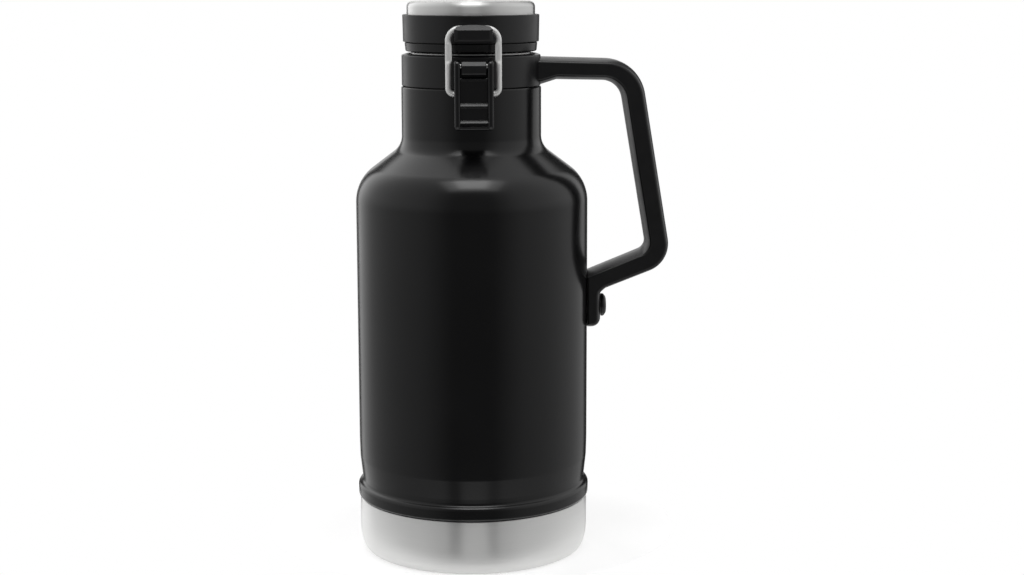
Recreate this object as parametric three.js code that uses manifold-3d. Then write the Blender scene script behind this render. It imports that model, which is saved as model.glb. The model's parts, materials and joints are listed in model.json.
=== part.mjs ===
// Double-wall steel growler with a hinged lid, a wire-bail latch and a side handle.
// Millimetres, +Z up. The origin is the centre of the underside, on the vessel's axis.
// The handle points along +X, the latch faces -Y and the lid's hinge is on the +Y side.

import * as THREE from 'three';
import { mergeVertices } from 'three/addons/utils/BufferGeometryUtils.js';
import Module from 'manifold-3d';

const wasm = await Module();
wasm.setup();

// ---------- driving dimensions ----------

const GAP = 0.3;                 // clearance between pieces that touch
const ROUND = 36;                // facets around the large turned pieces
const ROUND_SMALL = 12;          // facets around screws, pins and bosses
const ARC_CHORD = 0.35;          // how far a rounded corner's chords may stray from its arc

const WALL = 0.5;                // steel wall of both shells
const SKIRT_LOW = 14;            // lower end of the outer shell, inside the base cup
const BODY_R = 60.55;
const BASE_R = 60.5;
const BASE_TOP = 28.5;
const BEAD_R = 61.4;
const GROOVE_R = 58.9;
const SHOULDER_Z = 196.5;        // where the body's line meets the shoulder cone
const NECK_FOOT_Z = 214.8;       // where the shoulder cone meets the neck
const NECK_R = 36.3;
const NECK_TOP = 245.5;
const SEAT_R = 32;               // slim neck inside the collar
const SEAT_TOP = 260.9;

const INNER_R = 55;              // outside of the inner vessel
const INNER_FLOOR = 9;
const INNER_ROUND = 9;           // corner between the inner bottom and the wall
const INNER_WELD_Z = 24;         // where the inner bottom is welded to the wall
const INNER_SHOULDER_Z = 192.3;
const INNER_SLOPE = 17.6 / 24.25;  // rise over run of the inner shoulder cone
const MOUTH_R = 27.5;            // clear mouth
const LIP_R = 31.2;
const LIP_TOP = 262.5;

const COLLAR_R = 36;
const COLLAR_BORE_R = SEAT_R + 0.4;
const COLLAR_TOP = 262.3;
const HANDLE_DEPTH = 22;
const HANDLE_EDGE = 3;           // rounding of the handle's long edges

const SCREW_Z = 129.3;           // axis of the handle's screw
const LUG_X = 67.7;              // outer face of the handle's foot

const FLANGE_LOW = 263.4;
const FLANGE_TOP = 268;
const RING_LOW = FLANGE_TOP + GAP;
const RING_TOP = 282.2;
const RING_R = 35.4;
const RING_BORE_R = 33.6;
const CAP_R = 33.2;
const CAP_TOP = 289.3;
const PLUG_R = 25.2;
const PLUG_LOW = 249.5;

const LEVER_PIN = { y: -42, z: 257.4, r: 1.3 };
const BAIL_PIVOT = { y: -40.2, z: 243.5 };
const BAIL_BAR = { y: -38.4, z: 275.8 };
const WIRE_R = 1.4;
const BAIL_HALF_WIDTH = 12.7;    // centre line of each side of the wire
const LEVER_HALF_WIDTH = 9.8;
const RAIL_WIDTH = 3;
const LEVER_LOW = 225.8;
const CATCH_HALF_WIDTH = 9.6;
const BOSS_HALF_WIDTH = 6.3;

const HINGE_PIN = { y: 41, z: 265, r: 1.5 };
const KNUCKLE_R = 3.4;
const KNUCKLE_HALF_WIDTH = 6;
const HINGE_HALF_WIDTH = 10;

// ---------- geometry helpers ----------

// Corner list [x, y, fillet radius] to points, each fillet as an arc.
function outline(corners, closed = true) {
  const points = [];
  corners.forEach(([x, y, radius = 0], i) => {
    const isEnd = !closed && (i === 0 || i === corners.length - 1);
    const corner = new THREE.Vector2(x, y);
    if (isEnd || radius === 0) {
      points.push(corner);
      return;
    }
    const [px, py] = corners[(i + corners.length - 1) % corners.length];
    const [nx, ny] = corners[(i + 1) % corners.length];
    const back = new THREE.Vector2(px - x, py - y).normalize();
    const ahead = new THREE.Vector2(nx - x, ny - y).normalize();
    const half = Math.acos(THREE.MathUtils.clamp(back.dot(ahead), -1, 1)) / 2;
    const centre = back.clone().add(ahead).normalize().multiplyScalar(radius / Math.sin(half)).add(corner);
    const start = corner.clone().addScaledVector(back, radius / Math.tan(half)).sub(centre);
    const sweep = Math.PI - 2 * half;
    const side = Math.sign(back.cross(ahead)) || 1;
    const arcStep = 2 * Math.acos(Math.max(1 - ARC_CHORD / radius, 0.5));
    const steps = Math.max(1, Math.ceil(sweep / arcStep));
    for (let k = 0; k <= steps; k += 1) {
      points.push(start.clone().rotateAround(new THREE.Vector2(), -side * sweep * k / steps).add(centre));
    }
  });
  return points;
}

// Closed triangle mesh with shared vertices, no slivers on an axis and its faces pointing out.
function closedMesh(geometry) {
  const bare = geometry.index ? geometry.toNonIndexed() : geometry.clone();
  bare.deleteAttribute('normal');
  bare.deleteAttribute('uv');
  const merged = mergeVertices(bare, 1e-4);
  const vertices = merged.attributes.position.array;
  const triangles = [];
  let volume = 0;
  const corner = (i) => new THREE.Vector3().fromArray(vertices, 3 * i);
  for (let t = 0; t < merged.index.count; t += 3) {
    const [a, b, c] = merged.index.array.slice(t, t + 3);
    if (a !== b && b !== c && a !== c) {
      triangles.push(a, b, c);
      volume += corner(a).dot(corner(b).cross(corner(c)));
    }
  }
  return { vertices, triangles: volume < 0 ? triangles.reverse() : triangles };
}

function toSolid(geometry) {
  const { vertices, triangles } = closedMesh(geometry);
  return new wasm.Manifold(new wasm.Mesh({
    numProp: 3,
    vertProperties: new Float32Array(vertices),
    triVerts: new Uint32Array(triangles),
  }));
}

function toGeometry(solid) {
  const mesh = solid.getMesh();
  const geometry = new THREE.BufferGeometry();
  geometry.setAttribute('position', new THREE.BufferAttribute(new Float32Array(mesh.vertProperties), 3));
  geometry.setIndex(new THREE.BufferAttribute(new Uint32Array(mesh.triVerts), 1));
  return geometry;
}

function join(...geometries) {
  return toGeometry(geometries.map(toSolid).reduce((sum, solid) => sum.add(solid)));
}

function cut(geometry, ...tools) {
  return toGeometry(tools.map(toSolid).reduce((left, tool) => left.subtract(tool), toSolid(geometry)));
}

function keepInside(geometry, limit) {
  return toGeometry(toSolid(geometry).intersect(toSolid(limit)));
}

// Turned piece: a profile of [radius, height, fillet] corners around +Z.
// An open profile starts and ends on the axis, a closed one is a ring.
function turned(corners, { ring = false, facets = ROUND } = {}) {
  const points = outline(corners, ring);
  if (ring) {
    points.push(points[0].clone());
  }
  const geometry = new THREE.LatheGeometry(points, facets);
  geometry.rotateX(Math.PI / 2);
  return toGeometry(toSolid(geometry));
}

function extruded(corners, length, bevel, basis) {
  const shape = new THREE.Shape(outline(corners));
  const geometry = new THREE.ExtrudeGeometry(shape, {
    depth: length - 2 * bevel,
    bevelEnabled: bevel > 0,
    bevelThickness: bevel,
    bevelSize: bevel,
    bevelOffset: -bevel,
    bevelSegments: 2,
    curveSegments: 1,
    steps: 1,
  });
  geometry.translate(0, 0, bevel - length / 2);
  geometry.applyMatrix4(basis);
  return geometry;
}

const X = new THREE.Vector3(1, 0, 0);
const Y = new THREE.Vector3(0, 1, 0);
const Z = new THREE.Vector3(0, 0, 1);
const FRONT_VIEW = new THREE.Matrix4().makeBasis(X, Z, Y.clone().negate());
const SIDE_VIEW = new THREE.Matrix4().makeBasis(Y, Z, X);

// Outline drawn as (x, z), extruded along Y about y.
function frontPlate(corners, depth, y = 0, bevel = 0) {
  return extruded(corners, depth, bevel, FRONT_VIEW).translate(0, y, 0);
}

// Outline drawn as (y, z), extruded along X about x.
function sidePlate(corners, width, x = 0, bevel = 0) {
  return extruded(corners, width, bevel, SIDE_VIEW).translate(x, 0, 0);
}

// Outline drawn as (x, y), extruded along Z about z.
function topPlate(corners, height, z) {
  return extruded(corners, height, 0, new THREE.Matrix4()).translate(0, 0, z);
}

function rodAlongX(radius, halfLength, y, z, facets = ROUND_SMALL) {
  const geometry = new THREE.CylinderGeometry(radius, radius, 2 * halfLength, facets);
  return geometry.rotateZ(Math.PI / 2).translate(0, y, z);
}

function upright(radius, low, high) {
  const geometry = new THREE.CylinderGeometry(radius, radius, high - low, ROUND);
  return geometry.rotateX(Math.PI / 2).translate(0, 0, (low + high) / 2);
}

// Turned piece whose axis is the handle screw's axis, drawn as [radius, x] corners.
function turnedOnScrew(corners) {
  return turned(corners, { facets: ROUND_SMALL }).rotateY(Math.PI / 2).translate(0, 0, SCREW_Z);
}

// ---------- vessel ----------

function outerShell() {
  const t = WALL;
  const skirtR = BASE_R - WALL - GAP;
  return turned([
    [skirtR, SKIRT_LOW], [skirtR, BASE_TOP + 0.4], [BEAD_R, BASE_TOP + 0.4, 1.3], [BEAD_R, 35.3, 2.2],
    [GROOVE_R, 36.8, 1.6], [GROOVE_R + 0.3, 40, 3], [60.3, 50, 12], [BODY_R, 60], [BODY_R, SHOULDER_Z, 22],
    [NECK_R, NECK_FOOT_Z, 10], [NECK_R, NECK_TOP, 0.9], [SEAT_R, NECK_TOP], [SEAT_R, SEAT_TOP],
    [SEAT_R - t, SEAT_TOP], [SEAT_R - t, NECK_TOP - t], [NECK_R - t, NECK_TOP - t],
    [NECK_R - t, NECK_FOOT_Z - 0.5 * t, 10 + t], [BODY_R - t, SHOULDER_Z - 0.5 * t, 22 - t],
    [BODY_R - t, 60], [GROOVE_R - t, 42, 8], [GROOVE_R - t, 35], [skirtR - t, 33], [skirtR - t, SKIRT_LOW],
  ], { ring: true });
}

// Wall, shoulder, neck and rolled lip in one. Its lower end is open, and the inner bottom closes it.
function innerVessel() {
  const t = WALL;
  const neckR = MOUTH_R + t;
  const footZ = INNER_SHOULDER_Z + (INNER_R - neckR) * INNER_SLOPE;
  return turned([
    [INNER_R - t, INNER_WELD_Z], [INNER_R, INNER_WELD_Z], [INNER_R, INNER_SHOULDER_Z, 15],
    [neckR, footZ, 8], [neckR, LIP_TOP - 1.2], [LIP_R, LIP_TOP - 1.2], [LIP_R, LIP_TOP, 0.4],
    [30.3, LIP_TOP, 0.3], [MOUTH_R, 257.8, 4], [MOUTH_R, footZ - 0.5 * t, 8 + t],
    [INNER_R - t, INNER_SHOULDER_Z - 0.5 * t, 15 - t],
  ], { ring: true });
}

function innerBottom() {
  const t = WALL;
  const rimZ = INNER_WELD_Z - GAP;
  return turned([
    [0, INNER_FLOOR], [INNER_R, INNER_FLOOR, INNER_ROUND], [INNER_R, rimZ], [INNER_R - t, rimZ],
    [INNER_R - t, INNER_FLOOR + t, INNER_ROUND - t], [0, INNER_FLOOR + t],
  ]);
}

function outerBottom() {
  const t = WALL;
  const rimR = BASE_R - 2 * WALL - 2 * GAP;
  return turned([
    [2.2, 4.2], [18, 4.2], [21, 5.2], [50, 5.2, 4], [56, 9, 4], [rimR, SKIRT_LOW], [rimR, SKIRT_LOW + 6],
    [rimR - t, SKIRT_LOW + 6], [rimR - t, SKIRT_LOW], [55.4, 9.6, 4], [49.6, 5.2 + t, 4], [20.8, 5.2 + t],
    [17.8, 4.2 + t], [2.2, 4.2 + t],
  ], { ring: true });
}

function vacuumSeal() {
  return turned([
    [0, 2.6], [3.4, 2.6, 0.6], [3.4, 3.9], [1.9, 3.9], [1.9, 5.2], [0, 5.2],
  ], { facets: ROUND_SMALL });
}

function getter() {
  return turned([[0, 7], [7, 7], [7, 8.6], [0, 8.6]], { facets: ROUND_SMALL }).translate(28, 0, 0);
}

// The side rolls under as a quarter ellipse, the underside has a rim, a groove and a flat centre.
function baseCup() {
  const t = WALL;
  const rollHeight = 13;
  const rollInset = 4;
  const rollSteps = 5;
  const roll = (inset) => Array.from({ length: rollSteps }, (_, k) => {
    const angle = (k + 1) / (rollSteps + 1) * Math.PI / 2;
    const radius = BASE_R - inset - rollInset * (1 - Math.cos(angle));
    return [radius, rollHeight - (rollHeight - inset) * Math.sin(angle)];
  });
  return turned([
    [0, 0], [22, 0], [23.5, 1], [49.5, 1], [51, 0], [BASE_R - rollInset, 0], ...roll(0).reverse(),
    [BASE_R, rollHeight], [BASE_R, BASE_TOP, 0.3], [BASE_R - t, BASE_TOP],
    [BASE_R - t, rollHeight], ...roll(t), [BASE_R - rollInset - t, 1 + t], [0, 1 + t],
  ]);
}

// ---------- handle ----------

function handleBar() {
  return frontPlate([
    [29, 260.7], [87.6, 258.9, 22], [105.4, 152.2, 15.5], [70.2, 138.6, 1.6], [LUG_X, 136.4, 1.2],
    [LUG_X, 118, 5], [58, 118], [58, 147], [91.6, 160.6, 5], [76.9, 247.9, 11], [44, 248.6, 3],
    [36.4, 246.2], [29, 246.2],
  ], HANDLE_DEPTH, 0, HANDLE_EDGE);
}

function handle() {
  const collar = turned([
    [COLLAR_BORE_R, NECK_TOP + 0.35], [COLLAR_R, NECK_TOP + 0.35, 0.4], [COLLAR_R, COLLAR_TOP - 0.8, 0.6],
    [COLLAR_R - 2.4, COLLAR_TOP], [COLLAR_BORE_R, COLLAR_TOP],
  ], { ring: true });
  const screwHole = turnedOnScrew([
    [0, 50], [2.4, 50], [2.4, 64.2], [5.6, 64.2], [5.6, 75], [0, 75],
  ]);
  return cut(
    join(collar, handleBar()),
    upright(COLLAR_BORE_R, 240, 270),
    upright(BODY_R + GAP, 100, 200),
    turnedOnScrew([[0, 55], [4.8, 55], [4.8, BODY_R + 1.7], [0, BODY_R + 1.7]]),
    screwHole,
  );
}

function handleBoss() {
  const foot = BODY_R + GAP;
  const post = turnedOnScrew([[0, foot - 1], [4.4, foot - 1], [4.4, foot + 1.1], [0, foot + 1.1]]);
  const thread = turnedOnScrew([[0, 50], [1.75, 50], [1.75, 70], [0, 70]]);
  return cut(post, upright(foot, 100, 160), thread);
}

function handleScrew() {
  return turnedOnScrew([[0, 61.2], [1.5, 61.2], [1.5, 65], [4, 65], [4, 67.2, 0.8], [0, 67.2]]);
}

function handleWasher() {
  const disc = turnedOnScrew([[0, 64.5], [5, 64.5], [5, 64.75], [0, 64.75]]);
  return cut(disc, turnedOnScrew([[0, 60], [1.9, 60], [1.9, 70], [0, 70]]));
}

function handleScrewCap() {
  return turnedOnScrew([
    [0, LUG_X - 0.2], [5.3, LUG_X - 0.2], [5.3, LUG_X + GAP], [6, LUG_X + GAP, 0.3],
    [6, LUG_X + 1.6, 1.2], [4.2, 70.6, 1.5], [0, 70.6],
  ]);
}

// ---------- latch ----------

function latchBracket() {
  const boss = sidePlate([
    [-35, 252.9], [-44.3, 252.9, 1.2], [-44.6, 257.6, 0.8], [-42.8, 259.7, 0.4], [-35, 259.7],
  ], 2 * BOSS_HALF_WIDTH);
  const plate = frontPlate([
    [-8.6, 247, 1], [8.6, 247, 1], [8.6, 260, 1], [-8.6, 260, 1],
  ], 4, -35.6);
  return cut(
    join(plate, boss),
    upright(COLLAR_R + GAP, 240, 270),
    rodAlongX(LEVER_PIN.r + 0.1, 12, LEVER_PIN.y, LEVER_PIN.z),
  );
}

function leverPin() {
  return rodAlongX(LEVER_PIN.r, LEVER_HALF_WIDTH - 0.2, LEVER_PIN.y, LEVER_PIN.z);
}

function latchLever() {
  const railSide = [
    [-38.7, 260.4, 2.8], [-45.3, 260.4, 2.8], [-45.6, 243, 8], [-47, 228, 3], [-46.4, LEVER_LOW, 1.2],
    [-42.8, LEVER_LOW, 1], [-42, 233, 6], [-38.1, 240.5, 2],
  ];
  const railX = LEVER_HALF_WIDTH - RAIL_WIDTH / 2;
  const inside = 2 * (LEVER_HALF_WIDTH - RAIL_WIDTH) + 1;
  const web = sidePlate([
    [-40.2, 251.9, 0.5], [-42.2, 251.9], [-43, 251.1], [-43, 250.6], [-42.3, 250.2], [-42.5, 239],
    [-43.9, 238.8], [-44.9, 237.8], [-44.9, 237.2], [-43.2, 236.8], [-43.6, 230.6], [-45.4, 230.4],
    [-46.3, 229.5], [-46.4, 228.9], [-45.7, 228.5], [-45.7, 228.1], [-46.7, 227.7],
    [-46.4, LEVER_LOW, 1], [-42.8, LEVER_LOW, 1], [-41.8, 236],
  ], inside);
  const front = frontPlate([
    [-LEVER_HALF_WIDTH, LEVER_LOW, 2], [LEVER_HALF_WIDTH, LEVER_LOW, 2],
    [LEVER_HALF_WIDTH, 260.6, 0.6], [-LEVER_HALF_WIDTH, 260.6, 0.6],
  ], 30, -42);
  const rails = [-railX, railX].map((x) => sidePlate(railSide, RAIL_WIDTH, x, 0.4));
  return cut(
    keepInside(join(web, ...rails), front),
    rodAlongX(LEVER_PIN.r + 0.1, 12, LEVER_PIN.y, LEVER_PIN.z),
    rodAlongX(WIRE_R + GAP, 12, BAIL_PIVOT.y, BAIL_PIVOT.z),
  );
}

// Wire loop: hooked ends in the lever's rails, two sides and a slightly bowed bar.
// Each side has a coined stretch that is wider towards the middle.
function latchBail() {
  const lowRound = 2.9;
  const highRound = 6;
  const endX = LEVER_HALF_WIDTH - RAIL_WIDTH + 0.2;
  const half = outline([
    [endX, BAIL_PIVOT.z], [BAIL_HALF_WIDTH, BAIL_PIVOT.z, lowRound],
    [BAIL_HALF_WIDTH, BAIL_BAR.z, highRound], [0, BAIL_BAR.z + 0.3],
  ], false);
  const lean = (z) => {
    const along = (z - BAIL_PIVOT.z) / (BAIL_BAR.z - BAIL_PIVOT.z);
    return BAIL_PIVOT.y + (BAIL_BAR.y - BAIL_PIVOT.y) * Math.min(along, 1);
  };
  const right = half.map((p) => new THREE.Vector3(p.x, lean(p.y), p.y));
  const left = right.slice(0, -1).reverse().map((p) => new THREE.Vector3(-p.x, p.y, p.z));
  const route = new THREE.CurvePath();
  const points = [...right, ...left];
  points.slice(1).forEach((p, i) => route.add(new THREE.LineCurve3(points[i], p)));
  const section = new THREE.Shape();
  section.absarc(0, 0, WIRE_R, 0, 2 * Math.PI);
  const wire = new THREE.ExtrudeGeometry(section, { extrudePath: route, steps: 56, curveSegments: 4 });
  const coined = [-1, 1].map((side) => frontPlate([
    [side * (BAIL_HALF_WIDTH + 0.6), 258.6], [side * (BAIL_HALF_WIDTH - 1), 258.6],
    [side * (BAIL_HALF_WIDTH - 2.4), 261.4, 2], [side * (BAIL_HALF_WIDTH - 2.4), 266.4, 2],
    [side * (BAIL_HALF_WIDTH - 1), 269.2], [side * (BAIL_HALF_WIDTH + 0.6), 269.2],
  ], 1.6, lean(264)));
  return join(wire, ...coined);
}

// ---------- lid ----------

function lidRing() {
  return turned([
    [RING_BORE_R, RING_LOW], [RING_R - 0.25, RING_LOW, 0.4], [RING_R, RING_TOP, 0.5],
    [RING_BORE_R, RING_TOP],
  ], { ring: true });
}

function lidBody() {
  return turned([
    [0, 281], [32, 281, 1], [32, FLANGE_TOP], [34.35, FLANGE_TOP, 0.5], [33.9, FLANGE_LOW, 0.9],
    [PLUG_R, FLANGE_LOW], [PLUG_R, 251.5], [PLUG_R - 1.8, 251.5], [PLUG_R - 1.8, 265], [30.2, 265],
    [30.2, 279.2], [0, 279.2],
  ]);
}

function lidCap() {
  const t = WALL;
  return turned([
    [0, CAP_TOP], [CAP_R, CAP_TOP - 0.3, 3], [CAP_R, 275], [CAP_R - t, 275],
    [CAP_R - t, CAP_TOP - 0.3 - t, 2.2], [0, CAP_TOP - t],
  ]);
}

function lidFoam() {
  return turned([[0, 278.8], [29.8, 278.8], [29.8, 265.4], [23, 265.4], [23, 253.6], [0, 253.6]]);
}

function plugBase() {
  return turned([
    [0, PLUG_LOW], [PLUG_R, PLUG_LOW, 1.2], [PLUG_R, 251.2], [22.9, 251.2], [22.9, 253.2], [0, 253.2],
  ]);
}

function lidGasket() {
  return turned([
    [PLUG_R + GAP, 258.2], [26.9, 258.2, 0.4], [27.4, 259.4, 0.8], [29.6, 262.2], [29.6, 263],
    [PLUG_R + GAP, 263],
  ], { ring: true });
}

// A hook open at its top, where the wire's bar lies behind the lip.
// The lip has a bevelled top with a slight arch, and the front face has chamfered sides.
function lidCatch() {
  const lipBack = BAIL_BAR.y - WIRE_R - 0.4;
  const slotFloor = BAIL_BAR.z - WIRE_R - 1.6;
  const low = 269.3;
  const front = -43.1;
  const hook = sidePlate([
    [-33, low], [-42.3, low, 0.6], [front, 270.4], [front, 275.1], [lipBack - 0.1, 278],
    [lipBack, slotFloor, 0.8], [-36.6, slotFloor, 0.8], [-36.6, 278, 0.3], [-33, 278],
  ], 2 * CATCH_HALF_WIDTH);
  const face = frontPlate([
    [-CATCH_HALF_WIDTH, low, 0.8], [CATCH_HALF_WIDTH, low, 0.8], [CATCH_HALF_WIDTH, 275.4, 1],
    [CATCH_HALF_WIDTH - 1.3, 277], [0, 278.2, 40], [1.3 - CATCH_HALF_WIDTH, 277],
    [-CATCH_HALF_WIDTH, 275.4, 1],
  ], 30, -40);
  const plan = topPlate([
    [-CATCH_HALF_WIDTH, -30], [-CATCH_HALF_WIDTH, front + 0.7], [1.8 - CATCH_HALF_WIDTH, front - 0.01],
    [CATCH_HALF_WIDTH - 1.8, front - 0.01], [CATCH_HALF_WIDTH, front + 0.7], [CATCH_HALF_WIDTH, -30],
  ], 20, 274);
  return cut(keepInside(keepInside(hook, face), plan), upright(RING_R + GAP, 260, 290));
}

// ---------- hinge ----------

function hingeBracket() {
  const plate = frontPlate([
    [-HINGE_HALF_WIDTH, 247, 1], [HINGE_HALF_WIDTH, 247, 1],
    [HINGE_HALF_WIDTH, 260, 1], [-HINGE_HALF_WIDTH, 260, 1],
  ], 5, 35.9);
  const earWidth = HINGE_HALF_WIDTH - KNUCKLE_HALF_WIDTH - GAP;
  const ears = [-1, 1].map((side) => sidePlate([
    [36, 248.5], [38.6, 248.5, 1], [HINGE_PIN.y + KNUCKLE_R, HINGE_PIN.z - 5, 3],
    [HINGE_PIN.y + KNUCKLE_R, HINGE_PIN.z + KNUCKLE_R, KNUCKLE_R - 0.01],
    [HINGE_PIN.y - KNUCKLE_R, HINGE_PIN.z + KNUCKLE_R, KNUCKLE_R - 0.01],
    [HINGE_PIN.y - KNUCKLE_R, HINGE_PIN.z - 4], [36, 258.5],
  ], earWidth, side * (HINGE_HALF_WIDTH - earWidth / 2)));
  return cut(
    join(plate, ...ears),
    upright(COLLAR_R + GAP, 240, 270),
    rodAlongX(HINGE_PIN.r + 0.1, 14, HINGE_PIN.y, HINGE_PIN.z),
  );
}

function hingePin() {
  const shank = rodAlongX(HINGE_PIN.r, HINGE_HALF_WIDTH + 0.6, HINGE_PIN.y, HINGE_PIN.z);
  const head = rodAlongX(HINGE_PIN.r + 0.9, 0.4, HINGE_PIN.y, HINGE_PIN.z);
  return join(shank, head.translate(HINGE_HALF_WIDTH + 0.8, 0, 0));
}

function lidHingeArm() {
  const knuckle = sidePlate([
    [33, RING_LOW + 0.4], [36.2, RING_LOW + 0.4], [HINGE_PIN.y - 3, HINGE_PIN.z + 0.5],
    [HINGE_PIN.y - KNUCKLE_R + 0.4, HINGE_PIN.z - KNUCKLE_R, 3],
    [HINGE_PIN.y + KNUCKLE_R, HINGE_PIN.z - KNUCKLE_R, KNUCKLE_R - 0.01],
    [HINGE_PIN.y + KNUCKLE_R, HINGE_PIN.z + KNUCKLE_R, KNUCKLE_R - 0.01],
    [38.4, 273, 3], [37.8, 280, 0.8], [33, 280],
  ], 2 * KNUCKLE_HALF_WIDTH);
  const plate = frontPlate([
    [-HINGE_HALF_WIDTH, RING_LOW + 0.7, 1], [HINGE_HALF_WIDTH, RING_LOW + 0.7, 1],
    [HINGE_HALF_WIDTH, 280, 1], [-HINGE_HALF_WIDTH, 280, 1],
  ], 4, 35.3);
  return cut(
    join(plate, knuckle),
    upright(RING_R + GAP, 262, 290),
    rodAlongX(HINGE_PIN.r + 0.1, 14, HINGE_PIN.y, HINGE_PIN.z),
  );
}

// ---------- assembly ----------

const BLACK_COAT = { color: 0x1b1b1d, roughness: 0.38, metalness: 0.25 };
const MATTE_BLACK = { color: 0x262628, roughness: 0.62, metalness: 0 };
const GLOSS_BLACK = { color: 0x17171a, roughness: 0.3, metalness: 0 };
const BRUSHED = { color: 0xb4b4b2, roughness: 0.34, metalness: 1 };
const WIRE = { color: 0xd8d8d6, roughness: 0.16, metalness: 1 };
const PLAIN_STEEL = { color: 0x9c9c9a, roughness: 0.42, metalness: 1 };
const SILICONE = { color: 0x6c6e70, roughness: 0.8, metalness: 0 };
const FOAM = { color: 0xd9cfb4, roughness: 0.95, metalness: 0 };

const pieces = [
  ['outer_shell', outerShell(), BLACK_COAT],
  ['inner_vessel', innerVessel(), BRUSHED],
  ['inner_bottom', innerBottom(), BRUSHED],
  ['outer_bottom', outerBottom(), PLAIN_STEEL],
  ['vacuum_seal', vacuumSeal(), PLAIN_STEEL],
  ['getter', getter(), PLAIN_STEEL],
  ['base_cup', baseCup(), BRUSHED],
  ['handle', handle(), MATTE_BLACK],
  ['handle_boss', handleBoss(), PLAIN_STEEL],
  ['handle_screw', handleScrew(), PLAIN_STEEL],
  ['handle_washer', handleWasher(), PLAIN_STEEL],
  ['handle_screw_cap', handleScrewCap(), MATTE_BLACK],
  ['latch_bracket', latchBracket(), MATTE_BLACK],
  ['lever_pin', leverPin(), PLAIN_STEEL],
  ['latch_lever', latchLever(), MATTE_BLACK],
  ['latch_bail', latchBail(), WIRE],
  ['lid_ring', lidRing(), MATTE_BLACK],
  ['lid_body', lidBody(), GLOSS_BLACK],
  ['lid_cap', lidCap(), BRUSHED],
  ['lid_foam', lidFoam(), FOAM],
  ['plug_base', plugBase(), GLOSS_BLACK],
  ['lid_gasket', lidGasket(), SILICONE],
  ['lid_catch', lidCatch(), MATTE_BLACK],
  ['hinge_bracket', hingeBracket(), MATTE_BLACK],
  ['hinge_pin', hingePin(), PLAIN_STEEL],
  ['lid_hinge_arm', lidHingeArm(), MATTE_BLACK],
];

const group = new THREE.Group();
for (const [name, geometry, finish] of pieces) {
  const mesh = new THREE.Mesh(geometry, new THREE.MeshStandardMaterial(finish));
  mesh.name = name;
  group.add(mesh);
}

export default group;
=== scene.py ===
"""Fine surfaces, finishes, studio and camera for the growler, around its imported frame.

Sizes in the piece functions are millimetres, as in the CAD, and turn into metres where a mesh is made.
The handle points along +X, the latch faces -Y and the hinge is on the +Y side.
"""
import json
import math

import bmesh
import bpy
from mathutils import Matrix, Vector


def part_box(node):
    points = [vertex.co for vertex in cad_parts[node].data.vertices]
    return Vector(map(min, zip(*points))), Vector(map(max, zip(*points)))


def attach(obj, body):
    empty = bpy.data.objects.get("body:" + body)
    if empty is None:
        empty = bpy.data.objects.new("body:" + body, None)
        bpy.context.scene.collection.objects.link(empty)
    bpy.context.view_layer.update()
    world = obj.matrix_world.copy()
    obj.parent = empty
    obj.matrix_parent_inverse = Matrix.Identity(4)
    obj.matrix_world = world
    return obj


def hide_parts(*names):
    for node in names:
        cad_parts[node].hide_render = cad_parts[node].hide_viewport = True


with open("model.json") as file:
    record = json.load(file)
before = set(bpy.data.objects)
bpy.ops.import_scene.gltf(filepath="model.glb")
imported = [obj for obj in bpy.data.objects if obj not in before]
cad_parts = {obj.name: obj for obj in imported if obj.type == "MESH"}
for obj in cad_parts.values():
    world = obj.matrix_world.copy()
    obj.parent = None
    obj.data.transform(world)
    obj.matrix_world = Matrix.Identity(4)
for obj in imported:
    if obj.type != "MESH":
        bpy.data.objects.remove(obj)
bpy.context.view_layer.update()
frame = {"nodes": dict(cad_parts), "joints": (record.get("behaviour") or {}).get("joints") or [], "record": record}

MM = 0.001


def box_mm(node):
    """Lowest and highest corner of a CAD node, in millimetres."""
    low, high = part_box(node)
    return low / MM, high / MM


# ---------- driving dimensions, from the frame where its boxes give them ----------

SHELL_LOW, SHELL_HIGH = box_mm("outer_shell")
INNER_LOW, INNER_HIGH = box_mm("inner_vessel")
BASE_HIGH = box_mm("base_cup")[1]
HANDLE_HIGH = box_mm("handle")[1]
RING_BOX_LOW, RING_BOX_HIGH = box_mm("lid_ring")
CAP_BOX_LOW, CAP_BOX_HIGH = box_mm("lid_cap")
PLUG_BOX_LOW, PLUG_BOX_HIGH = box_mm("plug_base")
LEVER_BOX_LOW, LEVER_BOX_HIGH = box_mm("latch_lever")
CATCH_BOX_LOW, CATCH_BOX_HIGH = box_mm("lid_catch")

GAP = 0.3              # clearance between pieces that touch
PIN_CLEARANCE = 0.1    # between a pin and its hole
WALL = 0.5             # steel wall of both shells
BASE_R = BASE_HIGH.x
BASE_TOP = BASE_HIGH.z
BEAD_R = SHELL_HIGH.x
GROOVE_R = 58.9
BODY_R = 60.55
SHOULDER_Z = 196.5     # where the body's line meets the shoulder cone
NECK_FOOT_Z = 214.8    # where the shoulder cone meets the neck
NECK_R = 36.3
NECK_TOP = 245.5
SEAT_R = 32.0          # slim neck inside the collar
SEAT_TOP = SHELL_HIGH.z

INNER_R = INNER_HIGH.x
INNER_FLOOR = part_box("inner_bottom")[0].z / MM
INNER_ROUND = 9.0      # corner between the inner bottom and the wall
INNER_WELD_Z = INNER_LOW.z
INNER_SHOULDER_Z = 192.3
INNER_SLOPE = 17.6 / 24.25  # rise over run of the inner shoulder cone
MOUTH_R = 27.5         # clear mouth
LIP_R = 31.2
LIP_TOP = INNER_HIGH.z + 0.5  # the fine lip stands a little above the CAD's

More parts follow.
